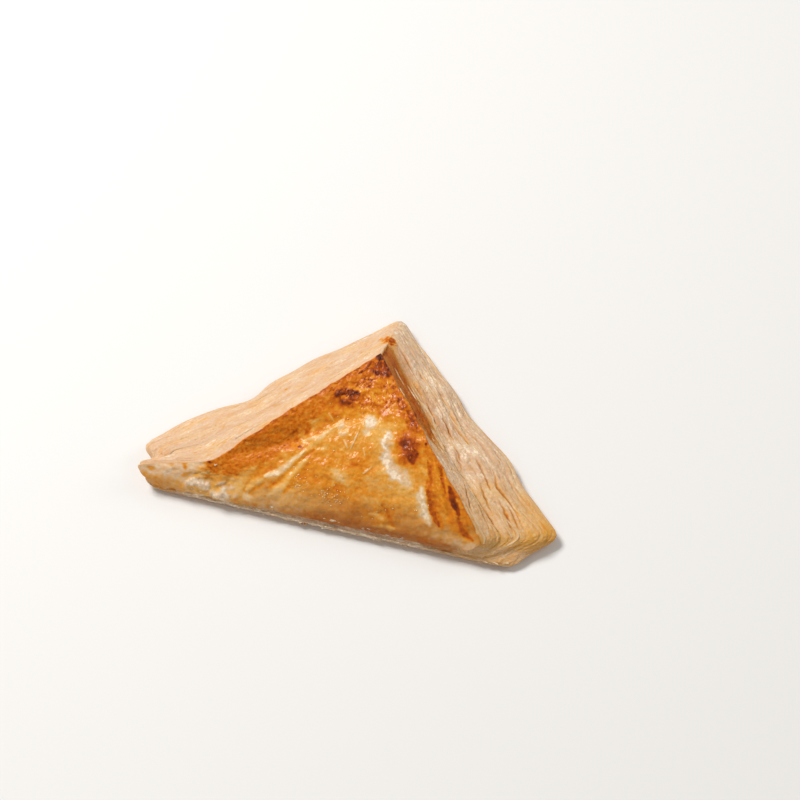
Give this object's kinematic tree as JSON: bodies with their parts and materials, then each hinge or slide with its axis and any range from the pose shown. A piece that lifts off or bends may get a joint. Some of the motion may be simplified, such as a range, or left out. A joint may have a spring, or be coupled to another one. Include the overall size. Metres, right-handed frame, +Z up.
{
  "type": "turnover pastry",
  "caption": "Baked puff-pastry turnover: a folded right-angled triangle with a glazed, browned top, puffed leafy sides and a flat underside.",
  "frame": {"origin": "centre of the bounding box's bottom, on the flat underside", "axes": "+X along the fold, +Y from the fold towards the right-angled corner, +Z up out of the glazed top"},
  "size_m": [0.1522, 0.0892, 0.0297],
  "materials": {
    "baked_pastry": "baked puff pastry, pale and matte on the cut sides, golden brown with a thin egg glaze on top"
  },
  "bodies": {
    "root": {"turnover": "baked_pastry"}
  },
  "joints": []
}
